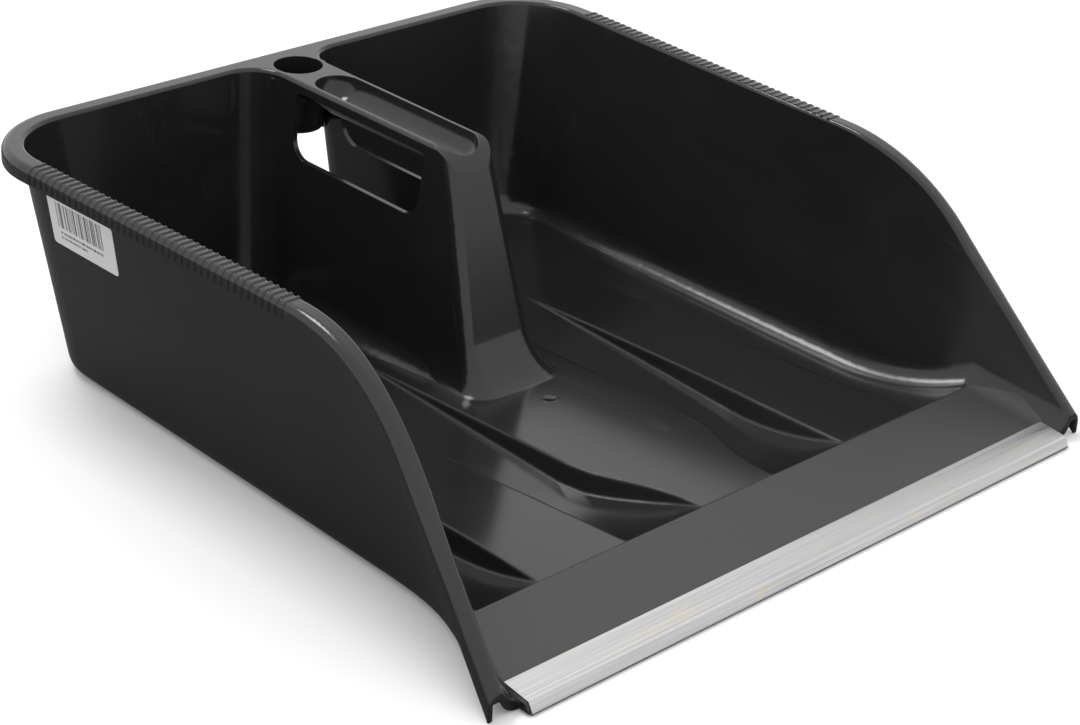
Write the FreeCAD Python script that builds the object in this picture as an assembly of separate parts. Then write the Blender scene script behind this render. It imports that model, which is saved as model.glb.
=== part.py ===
import FreeCAD, Part
import math
import os

V = FreeCAD.Vector

# ---- driving dimensions, mm ------------------------------------------------
# frame: x across the pan, +y to the back, +z up, z = 0 is the floor it stands on
RIM_Z = 131.0            # top of the rim above the ground
BACK_Y = 217.6           # outer edge of the back rim
LIP_Y = -217.5           # front edge of the metal strip
HORN_Y = -208.5          # front edge of the side cheeks
WALL_T = 2.8             # wall thickness of the moulding
FLOOR_T = 2.8            # floor thickness
CAVITY_EDGE_R = 12.0     # inner radius between wall and floor

# half widths against y, back to front
RIM_PLAN = ((160, 200.0), (110, 198.3), (60, 196.4), (10, 194.6), (-40, 193.3), (-68, 193.8), (-97, 195.4),
            (-122, 198.0), (-147, 201.6), (-172, 205.4), (-195, 209.2), (-225, 214.6))
FOOT_PLAN = ((160, 170.2), (110, 170.7), (60, 171.2), (10, 171.8), (-40, 172.4), (-80, 172.8), (-112, 173.4),
             (-130, 175.6), (-143, 179.0), (-158, 184.6), (-180, 192.8), (-225, 209.4))
HEAD_PLAN = ((160, 191.2), (110, 189.6), (60, 187.8), (10, 186.1), (-40, 185.3), (-80, 187.0), (-112, 193.5),
             (-130, 198.4), (-143, 203.0), (-158, 209.6), (-180, 218.4), (-225, 234.8))
HEAD_Z = 131.0           # level of the HEAD_PLAN outline

# back wall and corners
FOOT_BACK_Y = 194.0      # back wall at the ground
HEAD_BACK_Y = 208.4      # back wall at the rim
RIM_R = 52.0             # plan radius of the rim corners
HEAD_R = 43.0            # plan radius of the wall corners at the rim
FOOT_R = 36.0            # plan radius of the wall corners at the ground
FOOT_EDGE_R = 11.0       # outer radius between wall and bottom

# side profile of the rim
ARC_Y = -47.0            # the rim starts to fall here
ARC_R = 114.0            # radius of the fall
SLANT_DEG = 46.5         # slope of the cheeks
RIM_T = 2.6              # thickness of the rim flange
SKIRT_H = 9.0            # depth of the rolled skirt
SKIRT_T = 2.4            # thickness of the skirt
RIM_EDGE_R = 4.2         # outer edge radius of the rim
RIM_INNER_R = 2.0        # inner edge radius of the rim

# ramp
CREST_Y = -158.0         # crest of the ramp
CREST_Z = 17.0           # height of the crest above the ground
RAMP_LIP_Y = -197.7      # back edge of the metal strip
RAMP_LIP_Z = 7.3         # ramp surface beside the strip
DIP_Y = -78.0            # the floor starts to rise here

# metal strip
STRIP_L = 386.0          # length
STRIP_T = 1.1            # sheet thickness
STRIP_BACK = (-197.7, 8.0)
STRIP_BEND = (-213.9, 6.1)
STRIP_TIP = (-217.5, 0.0)
STRIP_HEEL_Y = -199.0    # back edge of the lower flange
STRIP_GAP = 0.8          # gap at each end of the strip

# spine (hollow handle column)
SPINE_TOP_Z = 131.0
SPINE_TOP_W = 32.4
SPINE_FOOT_W = 52.0
SPINE_FRONT_TOP_Y = 47.5
SPINE_FRONT_FOOT_Y = 11.5
NOSE_SOLID_Y = 62.0       # the nose of the handle is solid in front of this
NOSE_SOLID_Z = 110.5      # and above this
SPINE_NOSE_R = 18.0
SPINE_EDGE_R = 7.0
SPINE_ROOT_R = 20.0      # fillet between spine and back wall
SPINE_T = 2.8
TROUGH_W = 26.0
TROUGH_BACK_Y = 169.0
TROUGH_FRONT_Y = 47.0
TROUGH_DEPTH = 13.0
SOCKET_Y = 191.6
SOCKET_R = 13.8
SOCKET_WALL = 2.2
SOCKET_STRAIGHT = 16.0    # straight length at the mouth of the bore
SOCKET_END_R = 11.4      # bore radius at the lower end
SOCKET_END_Z = 95.4
WEB_Y = 192.0
WEB_LOW_Z = 89.5
WINDOW_BACK_Y = 172.0
WINDOW_FRONT_Y = 66.0
WINDOW_LOW_Z = 87.5
WINDOW_TOP_Z = 125.0
WINDOW_R = 11.0

# grip ribs on the side rims
RIB_N = 41
RIB_PITCH = 4.913
RIB_FIRST_Y = 156.4
RIB_W = 2.3
RIB_REACH = 10.2         # from the outer edge of the rim to the inner end of a rib
RIB_END = 1.6            # end of a rib above the lower edge of the skirt
RIB_H = 0.8

# raised bands in the floor: half widths against y, inner and outer edge
BAND_START_Y = 88.0
BAND_SIDE = 0.5          # side slope, run over rise
BAND_ROWS = ((88, 43.0, 85.0, 131.0), (30, 43.0, 84.5, 131.0), (-40, 43.0, 83.0, 131.0), (-80, 43.0, 81.5, 131.0),
             (-96, 41.0, 80.5, 131.2), (-110, 36.0, 80.0, 131.8), (-124, 30.5, 79.3, 132.8), (-140, 26.5, 78.6, 134.0),
             (-157.5, 25.0, 78.0, 135.5))

# flared foot in front of the spine
TOE_TOP_Z = 34.0
TOE_LOW_Z = 7.0
TOE_RUN = 22.0

# label
LABEL_W = 55.0
LABEL_H = 27.5
LABEL_T = 0.25
LABEL_BACK_Y = 158.2
LABEL_TOP_Z = 114.0



def spline(points):
    curve = Part.BSplineCurve()
    curve.interpolate(points)
    return curve.toShape()


def line(a, b):
    return Part.makeLine(a, b)


def interpolate(table, y):
    rows = sorted(table)
    for (y0, w0), (y1, w1) in zip(rows, rows[1:]):
        if y <= y1:
            return w0 + (w1 - w0) * (y - y0) / (y1 - y0)
    return rows[-1][1]


def plan_wire(z, back_y, front_y, radius, table, grow=0.0):
    """Closed plan outline at height z; grow moves the sides and back outwards."""
    back_y = back_y + grow
    radius = radius + grow
    side_y = back_y - radius
    rows = [(y, w) for y, w in table if side_y - 12 > y > front_y + 6]
    rows = [(side_y, interpolate(table, side_y))] + rows + [(front_y, interpolate(table, front_y))]
    right = [V(w + grow, y, z) for y, w in rows]
    left = [V(-p.x, p.y, z) for p in reversed(right)]
    start = right[0].x
    k = math.sqrt(0.5) * radius
    mid = V(start - radius + k, side_y + k, z)
    arc_r = Part.Arc(V(start - radius, back_y, z), mid, V(start, side_y, z)).toShape()
    arc_l = Part.Arc(V(-start, side_y, z), V(-mid.x, mid.y, z), V(radius - start, back_y, z)).toShape()
    back = line(V(radius - start, back_y, z), V(start - radius, back_y, z))
    return Part.Wire([back, arc_r, spline(right), line(right[-1], left[0]), spline(left), arc_l])


def wall_level(z):
    """Back position, corner radius and side table of the wall's outer face at height z."""
    f = z / HEAD_Z
    table = [(y, a + (b - a) * f) for (y, a), (yy, b) in zip(FOOT_PLAN, HEAD_PLAN)]
    return FOOT_BACK_Y + (HEAD_BACK_Y - FOOT_BACK_Y) * f, FOOT_R + (HEAD_R - FOOT_R) * f, table


def tub(front_y, low_z, high_z, inset):
    """Drafted tub between two heights with the walls moved inwards by inset."""
    wires = []
    for z in (low_z, high_z):
        back_y, radius, table = wall_level(z)
        wires.append(plan_wire(z, back_y, front_y, radius, table, -inset))
    return Part.makeLoft(wires, True, True)


def prism_x(edges, half):
    """Extrude closed y-z edges along x between -half and half."""
    face = Part.Face(Part.Wire(Part.__sortEdges__(edges)))
    face.translate(V(-half, 0, 0))
    return face.extrude(V(2 * half, 0, 0))


def chain(points):
    """Straight edges through y-z points."""
    pts = [V(0, y, z) for y, z in points]
    return [line(a, b) for a, b in zip(pts, pts[1:])]


def rim_line(drop):
    """Edges of the rim line in the y-z plane, moved down square to itself."""
    slope = math.radians(SLANT_DEG)
    radius = ARC_R - drop
    centre_z = RIM_Z - ARC_R

    def at(angle):
        return V(0, ARC_Y - radius * math.sin(angle), centre_z + radius * math.cos(angle))

    end = at(slope)
    run = (end.y + 260.0) / math.cos(slope)
    tail = V(0, end.y - run * math.cos(slope), end.z - run * math.sin(slope))
    return [line(V(0, 260, RIM_Z - drop), at(0)), Part.Arc(at(0), at(slope / 2), end).toShape(), line(end, tail)]


def below_rim(drop):
    """Everything under the rim line moved down by drop."""
    edges = rim_line(drop)
    top = edges[0].Vertexes[0].Point
    tail = edges[-1].Vertexes[1].Point
    if tail.y > top.y:
        top, tail = tail, top
    closing = chain([(tail.y, tail.z), (tail.y, -300), (260, -300), (260, RIM_Z - drop)])
    return prism_x(edges + closing, 260)


def floor_line(drop, lip_y):
    """Edges of the floor surface from the back to the lip, moved down by drop."""
    rise = CREST_Z - FLOOR_T
    run = DIP_Y - CREST_Y
    radius = (run * run + rise * rise) / (2 * rise)
    z0 = FLOOR_T - drop
    half = math.asin(run / radius) / 2
    mid = V(0, DIP_Y - radius * math.sin(half), z0 + radius * (1 - math.cos(half)))
    dip = Part.Arc(V(0, DIP_Y, z0), mid, V(0, CREST_Y, CREST_Z - drop)).toShape()
    grade = (CREST_Z - RAMP_LIP_Z) / (CREST_Y - RAMP_LIP_Y)
    lip_z = RAMP_LIP_Z - drop + grade * (lip_y - RAMP_LIP_Y)
    return [line(V(0, 260, z0), V(0, DIP_Y, z0)), dip, line(V(0, CREST_Y, CREST_Z - drop), V(0, lip_y, lip_z))], lip_z


def above_floor(lip_y):
    edges, lip_z = floor_line(0.0, lip_y)
    closing = chain([(lip_y, lip_z), (lip_y, 200), (260, 200), (260, FLOOR_T)])
    return prism_x(edges + closing, 260)


def spine_block(inset, low_z, high_z, back_y):
    """Drafted handle column, walls moved inwards by inset."""
    wires = []
    for z in (low_z, high_z):
        f = z / SPINE_TOP_Z
        w = (SPINE_FOOT_W + (SPINE_TOP_W - SPINE_FOOT_W) * f) / 2 - inset
        y = SPINE_FRONT_FOOT_Y + (SPINE_FRONT_TOP_Y - SPINE_FRONT_FOOT_Y) * f + inset
        pts = [V(-w, back_y, z), V(-w, y, z), V(w, y, z), V(w, back_y, z), V(-w, back_y, z)]
        wires.append(Part.makePolygon(pts))
    return Part.makeLoft(wires, True, True)


def edges_where(shape, test):
    return [e for e in shape.Edges if test(e)]


def first_solid(shape):
    return max(shape.Solids, key=lambda solid: solid.Volume)


def nosed(inset, top_z, nose_r):
    """Wide block with the side view of the handle column and a rounded nose."""
    pts = []
    for z in (-10.0, top_z):
        f = z / SPINE_TOP_Z
        pts.append((SPINE_FRONT_FOOT_Y + (SPINE_FRONT_TOP_Y - SPINE_FRONT_FOOT_Y) * f + inset, z))
    outline = [(270, -10.0), pts[0], pts[1], (270, top_z), (270, -10.0)]
    block = prism_x(chain(outline), 120)
    edge = edges_where(block, lambda e: e.BoundBox.XLength > 100 and e.BoundBox.ZMin > top_z - 0.1
                       and e.BoundBox.YMax < 100)
    return block.makeFillet(nose_r, edge)


def post(inset, edge_r, back_y):
    """Tall handle column with rounded front corners."""
    block = spine_block(inset, -6.0, 150.0, back_y)
    corners = edges_where(block, lambda e: e.BoundBox.ZLength > 60 and e.BoundBox.YMax < 90)
    return block.makeFillet(edge_r, corners)


def cavity():
    """The space inside the pan that is open to the top and front."""
    space = tub(HORN_Y - 8, 0.0, 145.0, WALL_T).common(above_floor(HORN_Y - 6))
    space = first_solid(space.cut(post(0.0, SPINE_EDGE_R, 240.0)))
    root = edges_where(space, lambda e: e.BoundBox.ZLength > 100 and e.BoundBox.YMin > 185
                       and max(abs(e.BoundBox.XMin), abs(e.BoundBox.XMax)) < 40)
    space = first_solid(space.makeFillet(SPINE_ROOT_R, root))
    low = edges_where(space, lambda e: e.BoundBox.ZMax < CREST_Z + 0.1
                      and not (e.BoundBox.XLength > 300 and e.BoundBox.YMax < 190))
    return first_solid(space.makeFillet(CAVITY_EDGE_R, low))


def raised_bands(drop, low):
    """Straight raised bands that run from the floor up to the crest, or the hollows under them."""
    bands = []
    for side in (-1, 0, 1):
        wires = []
        for y, centre, inner, outer in BAND_ROWS:
            grade = (CREST_Z - FLOOR_T) / (BAND_START_Y - CREST_Y)
            top = FLOOR_T + grade * (BAND_START_Y - y) + 0.02 - drop
            if top < low + 0.5:
                continue
            spread = BAND_SIDE * (top - low)
            if side == 0:
                a, b = drop - centre, centre - drop
            else:
                a, b = sorted((side * (inner + drop), side * (outer - drop)))
            pts = [V(a - spread, y, low), V(a, y, top), V(b, y, top), V(b + spread, y, low), V(a - spread, y, low)]
            wires.append(Part.makePolygon(pts))
        bands.append(Part.makeLoft(wires, True, True))
    return bands


def toe():
    """Concave foot where the front of the spine meets the floor."""
    wires = []
    for z in (2.0, 7.0, 8.2, 10.2, 13.0, 16.5, 21.0, 26.0, 31.0, 35.0):
        u = min(1.0, max(0.0, (TOE_TOP_Z - z) / (TOE_TOP_Z - TOE_LOW_Z)))
        run = TOE_RUN * (1 - math.sqrt(1 - u * u)) - 0.4
        f = z / SPINE_TOP_Z
        w = (SPINE_FOOT_W + (SPINE_TOP_W - SPINE_FOOT_W) * f) / 2 - 0.4
        y = SPINE_FRONT_FOOT_Y + (SPINE_FRONT_TOP_Y - SPINE_FRONT_FOOT_Y) * f - run
        r = SPINE_EDGE_R + 0.45 * max(run, 0)
        wide = w + 0.35 * max(run, 0)
        k = r * math.sqrt(0.5)
        c = wide - r
        arc_l = Part.Arc(V(-wide, y + r, z), V(-c - k, y + r - k, z), V(-c, y, z)).toShape()
        arc_r = Part.Arc(V(c, y, z), V(c + k, y + r - k, z), V(wide, y + r, z)).toShape()
        edges = [line(V(-w, 60, z), V(-wide, y + r, z)), arc_l, line(V(-c, y, z), V(c, y, z)), arc_r,
                 line(V(wide, y + r, z), V(w, 60, z)), line(V(w, 60, z), V(-w, 60, z))]
        wires.append(Part.Wire(edges))
    return Part.makeLoft(wires, True, True)


def ramp_hollow():
    """Space under the ramp, open at the bottom."""
    lip_y = RAMP_LIP_Y + 3.0
    edges, lip_z = floor_line(WALL_T, lip_y)
    edges = edges[1:]
    closing = chain([(lip_y, lip_z), (lip_y, -4), (DIP_Y, -4), (DIP_Y, 0.0)])
    return prism_x(edges + closing, 260).common(tub(HORN_Y - 8, -5.0, 60.0, 12.0))


def rim_flange():
    """Flange with a rolled skirt that follows the rim line."""
    low = plan_wire(-20, BACK_Y, -225.0, RIM_R, RIM_PLAN)
    block = Part.Face(low).extrude(V(0, 0, 200))
    block = first_solid(block.common(below_rim(0.0)))
    outer = edges_where(block, lambda e: top_outer(e))
    block = block.makeFillet(RIM_EDGE_R, outer)
    inner = Part.Face(plan_wire(-25, BACK_Y, -232.0, RIM_R, RIM_PLAN, -SKIRT_T)).extrude(V(0, 0, 200))
    groove = inner.common(below_rim(RIM_T))
    band = block.cut(below_rim(SKIRT_H)).cut(groove)
    front = Part.makeBox(600, 100, 400, V(-300, HORN_Y - 100, -100))
    ground = Part.makeBox(600, 600, 60, V(-300, -300, -60))
    return band.cut(front).cut(ground)


def top_outer(edge):
    """True on the outer top edge of the rim block."""
    a, b = edge.Vertexes[0].Point, edge.Vertexes[-1].Point
    p = edge.valueAt((edge.FirstParameter + edge.LastParameter) / 2)
    return all(abs(q.z - rim_z(q.y)) < 0.05 for q in (a, b, p)) and p.y > -224.5 and not across(edge)


def across(edge):
    """True on the lines that cross the block from side to side."""
    box = edge.BoundBox
    return box.XLength > 200 and box.YMax < 150


def rim_z(y):
    """Height of the rim line at y."""
    slope = math.radians(SLANT_DEG)
    end_y = ARC_Y - ARC_R * math.sin(slope)
    end_z = RIM_Z - ARC_R + ARC_R * math.cos(slope)
    if y >= ARC_Y:
        return RIM_Z
    if y >= end_y:
        return RIM_Z - ARC_R + math.sqrt(ARC_R * ARC_R - (ARC_Y - y) ** 2)
    return end_z + (y - end_y) * math.tan(slope)


def spine_hollow():
    """Space inside the handle column, open at the back and at the bottom."""
    slab = []
    for z in (-6.0, 150.0):
        y = wall_level(z)[0]
        slab.append(Part.makePolygon([V(-110, y, z), V(110, y, z), V(110, 260, z), V(-110, 260, z), V(-110, y, z)]))
    slab = Part.makeLoft(slab, True, True)
    space = first_solid(post(SPINE_T, SPINE_EDGE_R - SPINE_T, 240.0).fuse(slab).removeSplitter())
    edges = edges_where(space, lambda e: e.BoundBox.ZLength > 60 and 185 < e.BoundBox.YMin
                        and e.BoundBox.YMax < 220 and max(abs(e.BoundBox.XMin), abs(e.BoundBox.XMax)) < 60)
    space = first_solid(space.makeFillet(SPINE_ROOT_R + WALL_T, edges))
    space = space.common(nosed(SPINE_T, SPINE_TOP_Z - 3.0, SPINE_NOSE_R - 3.0))
    solid_nose = Part.makeBox(80, 60, 60, V(-40, NOSE_SOLID_Y - 60, NOSE_SOLID_Z))
    return space.cut(trough_shell()).cut(solid_nose)


def trough_shell():
    """Outside of the channel that forms the grip."""
    radius = SPINE_TOP_W / 2 - 0.02
    front_c = TROUGH_FRONT_Y + TROUGH_W / 2
    bar = Part.makeCylinder(radius, TROUGH_BACK_Y + 4 - front_c, V(0, front_c, SPINE_TOP_Z), V(0, 1, 0))
    return bar.fuse(Part.makeSphere(radius, V(0, front_c, SPINE_TOP_Z)))


def grip_channel():
    """The channel cut into the handle, round at both ends."""
    radius = TROUGH_W / 2
    back_c = TROUGH_BACK_Y - radius
    front_c = TROUGH_FRONT_Y + radius
    bar = Part.makeCylinder(radius, back_c - front_c, V(0, front_c, SPINE_TOP_Z), V(0, 1, 0))
    for y in (front_c, back_c):
        bar = bar.fuse(Part.makeSphere(radius, V(0, y, SPINE_TOP_Z)))
    return bar


def windows():
    """Hand openings through both side walls of the handle."""
    low, top, back, front = WINDOW_LOW_Z, WINDOW_TOP_Z, WINDOW_BACK_Y, WINDOW_FRONT_Y
    pts = [V(0, back, low), V(0, back, top), V(0, front - 2.0, top), V(0, front + 1.5, low)]
    face = Part.Face(Part.makePolygon(pts + [pts[0]]))
    cuts = []
    for x in (-45, 10):
        prism = face.copy()
        prism.translate(V(x, 0, 0))
        prism = prism.extrude(V(35, 0, 0))
        lower = edges_where(prism, lambda e: e.BoundBox.XLength > 30 and e.BoundBox.ZMax < low + 1)
        upper = edges_where(prism, lambda e: e.BoundBox.XLength > 30 and e.BoundBox.ZMin > top - 1)
        prism = prism.makeFillet(WINDOW_R, lower)
        cuts.append(prism.makeFillet(4.0, edges_where(prism, lambda e: e.BoundBox.XLength > 30
                                                      and e.BoundBox.ZMin > top - 1)))
    return cuts


def socket_core(grow):
    """Bore of the broom-handle socket: straight mouth, then a taper."""
    step_z = SPINE_TOP_Z - SOCKET_STRAIGHT
    mouth = Part.makeCylinder(SOCKET_R + grow, SOCKET_STRAIGHT, V(0, SOCKET_Y, step_z))
    taper = Part.makeCone(SOCKET_END_R + grow, SOCKET_R + grow, step_z - SOCKET_END_Z, V(0, SOCKET_Y, SOCKET_END_Z))
    return mouth.fuse(taper)


def socket():
    """Broom-handle socket hanging from the bridge behind the handle."""
    web_w = SPINE_TOP_W / 2 + 2.0
    web = [V(-web_w, 0, SPINE_TOP_Z - 4), V(web_w, 0, SPINE_TOP_Z - 4), V(web_w, 0, WEB_LOW_Z),
           V(8, 0, WEB_LOW_Z + 4.0), V(-8, 0, WEB_LOW_Z + 4.0), V(-web_w, 0, WEB_LOW_Z)]
    plate = Part.Face(Part.makePolygon(web + [web[0]]))
    plate.translate(V(0, WEB_Y - 1.2, 0))
    return socket_core(SOCKET_WALL).fuse(plate.extrude(V(0, 2.4, 0)))


def rib_section(x_out, y, side, rise):
    """Outline of one grip rib across the rim, standing proud of it by rise."""
    buried = 1.2
    xc = x_out - RIM_EDGE_R
    zc = RIM_Z - RIM_EDGE_R
    low = RIM_Z - SKIRT_H + RIB_END
    x_in = x_out - RIB_REACH
    pts = [(x_in, RIM_Z + rise)]
    for k in range(5):
        turn = math.radians(90.0 - 22.5 * k)
        r = RIM_EDGE_R + rise
        pts.append((xc + r * math.cos(turn), zc + r * math.sin(turn)))
    pts += [(x_out + rise, low), (x_out - buried, low), (x_out - buried, zc)]
    r = (RIM_EDGE_R - buried) * math.sqrt(0.5)
    pts += [(xc + r, zc + r), (xc, RIM_Z - buried), (x_in, RIM_Z - buried)]
    return Part.makePolygon([V(side * x, y, z) for x, z in pts + [pts[0]]])


def rib(y, side):
    """One rounded grip rib over the rim."""
    x_out = interpolate(RIM_PLAN, y)
    shape = [(-0.58, -0.5), (-0.43, 0.40), (-0.2, 0.92), (0.2, 0.92), (0.43, 0.40), (0.58, -0.5)]
    rings = [rib_section(x_out, y + a * RIB_W, side, b * RIB_H) for a, b in shape]
    return Part.makeLoft(rings, True, True)


def strip_outline(inset):
    """Corners of the folded strip moved inwards by inset."""
    pts = [STRIP_BACK, STRIP_BEND, STRIP_TIP, (STRIP_HEEL_Y, 0.0)]
    lines = []
    for (y0, z0), (y1, z1) in zip(pts, pts[1:]):
        length = math.hypot(y1 - y0, z1 - z0)
        dy, dz = (y1 - y0) / length, (z1 - z0) / length
        lines.append((y0 - dz * inset, z0 + dy * inset, dy, dz))
    out = [(lines[0][0], lines[0][1])]
    for (ya, za, da, ea), (yb, zb, db, eb) in zip(lines, lines[1:]):
        t = ((yb - ya) * eb - (zb - za) * db) / (da * eb - ea * db)
        out.append((ya + da * t, za + ea * t))
    last = lines[-1]
    out.append((STRIP_HEEL_Y, last[1]))
    return out


def tongue():
    """Lip of the moulding inside the folded strip."""
    inner = strip_outline(STRIP_T + 0.03)
    pts = [(RAMP_LIP_Y + 3.0, inner[0][1] - 0.3), inner[0], inner[1], inner[2], (RAMP_LIP_Y + 3.0, inner[3][1])]
    return prism_x(chain(pts + [pts[0]]), STRIP_L / 2 + STRIP_GAP + 0.5)


def strip():
    """Folded metal edge strip."""
    outer = strip_outline(0.0)
    inner = strip_outline(STRIP_T)
    pts = outer + inner[::-1]
    solid = prism_x(chain(pts + [pts[0]]), STRIP_L / 2)

    def long_edge(y, z):
        return edges_where(solid, lambda e: e.BoundBox.XLength > 100 and abs(e.BoundBox.YMin - y) < 0.02
                           and abs(e.BoundBox.ZMin - z) < 0.02)

    bends = long_edge(*outer[1]) + long_edge(*outer[2])
    return solid.makeFillet(1.0, bends)


def label():
    """Printed label on the outside of the left wall."""
    shell = tub(HORN_Y, 0.0, 140.0, -LABEL_T).cut(tub(HORN_Y - 1, -1.0, 141.0, 0.0))
    low_z = LABEL_TOP_Z - LABEL_H
    front_y = LABEL_BACK_Y - LABEL_W
    plate = Part.makeBox(60, LABEL_W, LABEL_H, V(-220, front_y, low_z))
    corner = edges_where(plate, lambda e: e.BoundBox.XLength > 50)
    plate = plate.makeFillet(2.0, corner)
    return first_solid(shell.common(plate))


def near(edge, solid):
    """True where the whole edge lies on the rim surface and against the solid."""
    for k in range(7):
        p = edge.valueAt(edge.FirstParameter + (edge.LastParameter - edge.FirstParameter) * k / 6.0)
        if abs(p.z - rim_z(p.y)) > 0.06 or solid.distToShape(Part.Vertex(p))[0] > 0.05:
            return False
    return True


def pan():
    """The whole moulding."""
    body = tub(HORN_Y, 0.0, 140.0, 0.0)
    under = edges_where(body, lambda e: e.BoundBox.ZMax < 0.1 and e.BoundBox.YMax > HORN_Y + 1)
    body = first_solid(body.makeFillet(FOOT_EDGE_R, under))
    hollow = spine_hollow()
    shell = trough_shell()
    body = body.common(below_rim(0.0)).cut(ramp_hollow()).cut(hollow).fuse(rim_flange())
    space = cavity()
    body = first_solid(first_solid(body.cut(space)).removeSplitter())
    body = first_solid(body.makeFillet(RIM_INNER_R, edges_where(body, lambda e: e.Length > 1.5 and near(e, space))))
    nose = Part.makeBox(120, 90, 60, V(-60, -10, 100)).cut(nosed(0.0, SPINE_TOP_Z, SPINE_NOSE_R))
    body = body.cut(nose.common(post(-0.5, SPINE_EDGE_R, 100.0)))
    inside = tub(HORN_Y - 8, 0.0, 60.0, 1.5)
    for band in raised_bands(0.0, 0.8):
        body = body.fuse(band.common(inside))
    for band in raised_bands(WALL_T, -2.0):
        body = body.cut(band)
    body = body.fuse(toe()).cut(hollow).cut(grip_channel())
    for window in windows():
        body = body.cut(window.cut(shell))
    body = body.fuse(socket()).cut(socket_core(0.0))
    notch = Part.makeBox(STRIP_L + 2 * STRIP_GAP, 60, 60, V(-STRIP_L / 2 - STRIP_GAP, RAMP_LIP_Y - 60, -5))
    body = body.cut(notch).fuse(tongue())
    ribs = [rib(RIB_FIRST_Y - k * RIB_PITCH, side) for k in range(RIB_N) for side in (-1, 1)]
    return first_solid(body.fuse(ribs))


def main():
    os.makedirs("parts", exist_ok=True)
    pan().exportStep("parts/pan.step")
    strip().exportStep("parts/edge_strip.step")
    label().exportStep("parts/label.step")


if __name__ == "__main__":
    main()
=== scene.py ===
"""Looks of the dust pan: procedural materials, printed sticker, studio light and camera."""

import math

import bpy
from mathutils import Matrix, Vector


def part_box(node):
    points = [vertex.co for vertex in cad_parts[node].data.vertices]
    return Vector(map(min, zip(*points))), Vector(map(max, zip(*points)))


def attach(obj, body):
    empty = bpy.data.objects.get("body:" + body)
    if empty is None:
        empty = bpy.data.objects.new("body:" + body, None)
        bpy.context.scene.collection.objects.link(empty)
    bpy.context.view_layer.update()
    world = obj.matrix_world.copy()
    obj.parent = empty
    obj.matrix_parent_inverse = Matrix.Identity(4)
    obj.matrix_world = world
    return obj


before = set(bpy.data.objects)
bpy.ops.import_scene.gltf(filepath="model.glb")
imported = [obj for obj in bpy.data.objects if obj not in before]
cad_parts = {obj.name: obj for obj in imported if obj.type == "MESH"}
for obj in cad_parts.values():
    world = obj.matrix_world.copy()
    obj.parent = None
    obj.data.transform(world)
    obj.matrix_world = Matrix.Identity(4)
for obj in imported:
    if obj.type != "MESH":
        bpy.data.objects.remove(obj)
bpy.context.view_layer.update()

CAMERA_AT = (-0.8491, -0.8746, 0.6516)   # metres
CAMERA_AZIMUTH = -44.59                  # degrees
CAMERA_ELEVATION = 27.26
CAMERA_ROLL = 3.22
CAMERA_LENS = 86.33                      # mm on a 36 mm sensor
FLOOR_RADIUS = 7.0
FLOOR_Z = -0.0004
CARD_SIZE = 4.0
KEY_AT = (-0.2, 0.9, 1.7)
KEY_SIZE = 0.6
KEY_WATTS = 14.0
SKY_STRENGTH = 1.25
RAMP_Y = -0.158                          # crest line, where the textured front begins
RAMP_X = 0.194                           # half width of the textured front
RAMP_TOP = 0.0176                        # just above the crest
FLOOR_SOFTNESS = 0.0026                  # rounding of edges on the floor bands
RIM_SOFTNESS = 0.0005                    # and higher up, on the ribs and the rim
BAND_GRADE = (0.017 - 0.0028) / (0.088 + 0.158)   # rise of the raised bands towards the crest
GATE_AT = (0.002, -0.020, 0.0028 + BAND_GRADE * (0.088 + 0.020))


class Nodes:
    """A short way to build one node material."""

    def __init__(self, name):
        self.material = bpy.data.materials.new(name)
        self.material.use_nodes = True
        self.tree = self.material.node_tree
        self.shader = self.tree.nodes["Principled BSDF"]
        self.coords = self.tree.nodes.new("ShaderNodeTexCoord").outputs["Object"]

    def link(self, a, b):
        self.tree.links.new(a, b)

    def put(self, socket, value):
        """A link where value is another node's output, else a plain value."""
        if isinstance(value, bpy.types.NodeSocket):
            self.link(value, socket)
        else:
            socket.default_value = value

    def scaled(self, scale, offset=(0, 0, 0)):
        n = self.tree.nodes.new("ShaderNodeMapping")
        n.inputs["Scale"].default_value = scale
        n.inputs["Location"].default_value = offset
        self.link(self.coords, n.inputs["Vector"])
        return n.outputs["Vector"]

    def noise(self, scale, detail=3.0, rough=0.5, vector=None, distortion=0.0):
        n = self.tree.nodes.new("ShaderNodeTexNoise")
        n.inputs["Scale"].default_value = scale
        n.inputs["Detail"].default_value = detail
        n.inputs["Roughness"].default_value = rough
        n.inputs["Distortion"].default_value = distortion
        self.link(vector or self.coords, n.inputs["Vector"])
        return n.outputs["Fac"]

    def spread(self, value, low, high, to_low=0.0, to_high=1.0):
        n = self.tree.nodes.new("ShaderNodeMapRange")
        self.link(value, n.inputs["Value"])
        n.inputs["From Min"].default_value = low
        n.inputs["From Max"].default_value = high
        n.inputs["To Min"].default_value = to_low
        n.inputs["To Max"].default_value = to_high
        return n.outputs["Result"]

    def math(self, kind, a, b=0.0):
        n = self.tree.nodes.new("ShaderNodeMath")
        n.operation = kind
        self.put(n.inputs[0], a)
        self.put(n.inputs[1], b)
        return n.outputs[0]

    def mix(self, factor, a, b):
        n = self.tree.nodes.new("ShaderNodeMix")
        n.data_type = "RGBA"
        self.put(n.inputs["Factor"], factor)
        self.put(n.inputs[6], a)
        self.put(n.inputs[7], b)
        return n.outputs[2]

    def bump(self, height, strength, distance, under=None):
        n = self.tree.nodes.new("ShaderNodeBump")
        n.inputs["Strength"].default_value = strength
        n.inputs["Distance"].default_value = distance
        self.link(height, n.inputs["Height"])
        if under is not None:
            self.link(under, n.inputs["Normal"])
        return n.outputs["Normal"]

    def axes(self):
        n = self.tree.nodes.new("ShaderNodeSeparateXYZ")
        self.link(self.coords, n.inputs["Vector"])
        return n.outputs["X"], n.outputs["Y"], n.outputs["Z"]


def grey(value, tint=0.0):
    return (value, value, value * (1.0 + tint), 1.0)


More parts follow.
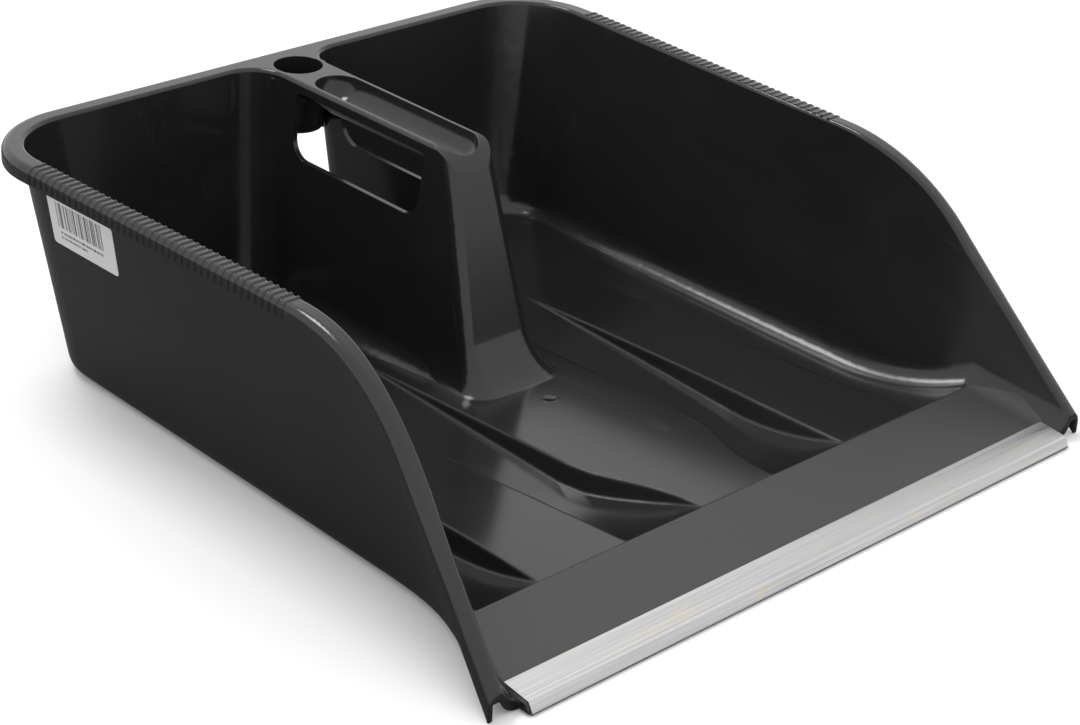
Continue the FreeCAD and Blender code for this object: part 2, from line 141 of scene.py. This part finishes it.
def plastic_material():
    """Black moulded polypropylene: glossy tub with flow marks and scuffs, and a fine-textured ramp."""
    m = Nodes("pan_plastic")
    x, y, z = m.axes()
    flow = m.noise(9.0, 4.0, 0.55, m.scaled((1.0, 0.45, 1.0)), 0.6)
    grain = m.noise(1600.0, 2.0, 0.5)
    waves = m.noise(26.0, 2.0, 0.4)
    scuffs = m.noise(60.0, 6.0, 0.7, m.scaled((1.0, 0.25, 0.6)), 1.2)
    worn = m.spread(scuffs, 0.60, 0.74)
    front = m.spread(y, RAMP_Y + 0.0004, RAMP_Y - 0.0004)
    inside = m.math("LESS_THAN", m.math("ABSOLUTE", x), RAMP_X)
    facing = m.tree.nodes.new("ShaderNodeSeparateXYZ")
    m.link(m.tree.nodes.new("ShaderNodeNewGeometry").outputs["Normal"], facing.inputs["Vector"])
    upward = m.spread(facing.outputs["Z"], 0.2, 0.7)
    inside = m.math("MULTIPLY", inside, upward)
    ramp = m.math("MULTIPLY", front, m.math("MULTIPLY", inside, m.math("LESS_THAN", z, RAMP_TOP)))
    base = m.mix(m.spread(flow, 0.3, 0.7), grey(0.0095, 0.03), grey(0.0140, 0.02))
    base = m.mix(worn, base, grey(0.018, 0.03))
    m.link(m.mix(ramp, base, grey(0.034, 0.01)), m.shader.inputs["Base Color"])
    gloss = m.spread(flow, 0.25, 0.75, 0.12, 0.19)
    gloss = m.math("ADD", gloss, m.math("MULTIPLY", worn, 0.06))
    m.link(m.math("ADD", gloss, m.math("MULTIPLY", ramp, 0.34)), m.shader.inputs["Roughness"])
    m.shader.inputs["IOR"].default_value = 1.46
    soft = m.tree.nodes.new("ShaderNodeBevel")
    soft.samples = 6
    m.link(m.spread(z, 0.030, 0.050, FLOOR_SOFTNESS, RIM_SOFTNESS), soft.inputs["Radius"])
    wavy = m.bump(waves, 0.25, 0.00030, soft.outputs["Normal"])
    m.link(m.bump(grain, 0.10, 0.00004, wavy), m.shader.inputs["Normal"])
    return m.material


def aluminium_material():
    """Mill-finish aluminium: lengthwise rolling streaks, dull patches and faint warm stains."""
    m = Nodes("mill_aluminium")
    streak = m.noise(1.0, 4.0, 0.6, m.scaled((6.0, 900.0, 900.0)))
    broad = m.noise(1.0, 3.0, 0.55, m.scaled((16.0, 260.0, 260.0)), 0.4)
    stain = m.noise(1.0, 4.0, 0.6, m.scaled((34.0, 120.0, 120.0), (3.1, 0.4, 0.0)), 0.8)
    base = m.mix(m.spread(streak, 0.3, 0.7), grey(0.40), grey(0.62))
    base = m.mix(m.spread(broad, 0.35, 0.7, 0.0, 0.45), base, grey(0.50))
    warm = m.mix(m.spread(stain, 0.58, 0.72, 0.0, 0.55), base, (0.62, 0.53, 0.37, 1.0))
    m.link(warm, m.shader.inputs["Base Color"])
    m.shader.inputs["Metallic"].default_value = 1.0
    m.link(m.spread(broad, 0.3, 0.7, 0.34, 0.52), m.shader.inputs["Roughness"])
    m.link(m.bump(streak, 0.30, 0.00008), m.shader.inputs["Normal"])
    return m.material


def label_material(box):
    """Matt sticker film with a generic pattern of bars and two ruled lines."""
    m = Nodes("sticker_film")
    x, y, z = m.axes()
    low, high = box
    across = m.spread(y, high[1], low[1])
    up = m.spread(z, low[2], high[2])
    row = m.tree.nodes.new("ShaderNodeCombineXYZ")
    m.link(across, row.inputs["X"])
    bars = m.noise(46.0, 2.0, 0.7, row.outputs["Vector"])
    bars = m.math("GREATER_THAN", bars, 0.50)

    def window(value, a, b):
        return m.math("MULTIPLY", m.math("GREATER_THAN", value, a), m.math("LESS_THAN", value, b))

    block = m.math("MULTIPLY", window(across, 0.12, 0.82), window(up, 0.40, 0.93))
    print_here = m.math("MULTIPLY", bars, block)
    for a, b, end in ((0.27, 0.32, 0.80), (0.17, 0.21, 0.55)):
        dashes = m.math("GREATER_THAN", m.noise(90.0, 0.0, 0.5, row.outputs["Vector"]), 0.47)
        line = m.math("MULTIPLY", window(up, a, b), window(across, 0.14, end))
        print_here = m.math("MAXIMUM", print_here, m.math("MULTIPLY", line, dashes))
    paper = m.mix(m.noise(300.0, 3.0, 0.6), grey(0.40, 0.02), grey(0.48, 0.01))
    m.link(m.mix(print_here, paper, grey(0.055)), m.shader.inputs["Base Color"])
    m.link(m.spread(m.noise(120.0), 0.3, 0.7, 0.45, 0.6), m.shader.inputs["Roughness"])
    m.link(m.bump(m.noise(900.0), 0.1, 0.00003), m.shader.inputs["Normal"])
    return m.material


def floor_material():
    m = Nodes("pale_floor")
    shade = m.noise(1.2, 2.0, 0.5)
    m.link(m.mix(shade, grey(0.80), grey(0.83)), m.shader.inputs["Base Color"])
    m.shader.inputs["Roughness"].default_value = 0.9
    m.shader.inputs["Specular IOR Level"].default_value = 0.1
    return m.material


def paint(node, material):
    """The material on every slot of a CAD node."""
    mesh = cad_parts[node].data
    mesh.materials.clear()
    mesh.materials.append(material)


def gate_mark(material):
    """The round mark that the moulding gate leaves on the centre band."""
    rings = [(0.0034, 0.00006), (0.0041, 0.00038), (0.0047, 0.00038), (0.0054, -0.00010)]
    count = 40
    points = [(0.0, 0.0, 0.00006)]
    for radius, height in rings:
        for k in range(count):
            turn = k * math.tau / count
            points.append((radius * math.cos(turn), radius * math.sin(turn), height))
    faces = [(0, 1 + k, 1 + (k + 1) % count) for k in range(count)]
    for ring in range(len(rings) - 1):
        low = 1 + ring * count
        for k in range(count):
            step = (k + 1) % count
            faces.append((low + k, low + count + k, low + count + step, low + step))
    mesh = bpy.data.meshes.new("gate_mark")
    mesh.from_pydata(points, [], faces)
    for polygon in mesh.polygons:
        polygon.use_smooth = True
    mesh.materials.append(material)
    mark = bpy.data.objects.new("gate_mark", mesh)
    mark.location = GATE_AT
    mark.rotation_euler = (-math.atan(BAND_GRADE), 0.0, 0.0)
    bpy.context.scene.collection.objects.link(mark)
    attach(mark, "root")


def floor():
    mesh = bpy.data.meshes.new("floor")
    count = 64
    ring = [(math.cos(k * math.tau / count), math.sin(k * math.tau / count)) for k in range(count)]
    points = [(FLOOR_RADIUS * c, FLOOR_RADIUS * s, FLOOR_Z) for c, s in ring]
    mesh.from_pydata(points, [], [list(range(count))])
    mesh.materials.append(floor_material())
    disc = bpy.data.objects.new("floor", mesh)
    bpy.context.scene.collection.objects.link(disc)


def card():
    """A dark sheet over the floor that only reflections see: it paints a dark reflection of the floor
    into the glossy plastic, while camera, light and shadows still see the white floor.
    """
    mesh = bpy.data.meshes.new("card")
    half = CARD_SIZE / 2
    corners = [(-half, -half), (half, -half), (half, half), (-half, half)]
    mesh.from_pydata([(x, y, FLOOR_Z + 0.0002) for x, y in corners], [], [(0, 1, 2, 3)])
    m = Nodes("painted_reflection_card")
    # painted reflection: this dark grey shows only as the floor's reflection in the plastic and
    # aluminium
    m.link(m.mix(m.noise(3.0), grey(0.10), grey(0.13)), m.shader.inputs["Base Color"])
    m.shader.inputs["Roughness"].default_value = 1.0
    mesh.materials.append(m.material)
    reflection_card = bpy.data.objects.new("card", mesh)
    # hidden from camera, diffuse light and shadows, so the card only paints a dark floor reflection
    reflection_card.visible_camera = False
    reflection_card.visible_diffuse = False
    reflection_card.visible_shadow = False
    reflection_card.visible_transmission = False
    bpy.context.scene.collection.objects.link(reflection_card)


def panel(name, at, towards, size, watts):
    """One soft box."""
    data = bpy.data.lights.new(name, "AREA")
    data.shape = "RECTANGLE"
    data.size = data.size_y = size
    data.energy = watts
    lamp = bpy.data.objects.new(name, data)
    lamp.location = at
    lamp.rotation_mode = "QUATERNION"
    lamp.rotation_quaternion = (Vector(towards) - Vector(at)).to_track_quat("-Z", "Y")
    bpy.context.scene.collection.objects.link(lamp)


def sky():
    world = bpy.data.worlds.new("studio")
    world.use_nodes = True
    back = world.node_tree.nodes["Background"]
    back.inputs["Color"].default_value = (1.0, 1.0, 1.0, 1.0)
    back.inputs["Strength"].default_value = SKY_STRENGTH
    bpy.context.scene.world = world


def camera():
    a, e, r = (math.radians(v) for v in (CAMERA_AZIMUTH, CAMERA_ELEVATION, CAMERA_ROLL))
    back = Vector((math.sin(a) * math.cos(e), -math.cos(a) * math.cos(e), math.sin(e)))
    right = Vector((math.cos(a), math.sin(a), 0.0))
    up = back.cross(right)
    side = math.cos(r) * right + math.sin(r) * up
    top = math.cos(r) * up - math.sin(r) * right
    data = bpy.data.cameras.new("camera")
    data.lens = CAMERA_LENS
    data.sensor_width = 36.0
    data.clip_start = 0.05
    data.clip_end = 40.0
    eye = bpy.data.objects.new("camera", data)
    turn = Matrix((side, top, back)).transposed()
    eye.matrix_world = Matrix.Translation(Vector(CAMERA_AT)) @ turn.to_4x4()
    bpy.context.scene.collection.objects.link(eye)
    bpy.context.scene.camera = eye


camera()
sky()
floor()
card()
panel("key", KEY_AT, (0.0, 0.0, 0.0), KEY_SIZE, KEY_WATTS)
plastic = plastic_material()
paint("pan", plastic)
gate_mark(plastic)
paint("edge_strip", aluminium_material())
paint("label", label_material(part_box("label")))
bpy.context.scene.view_settings.view_transform = "Standard"
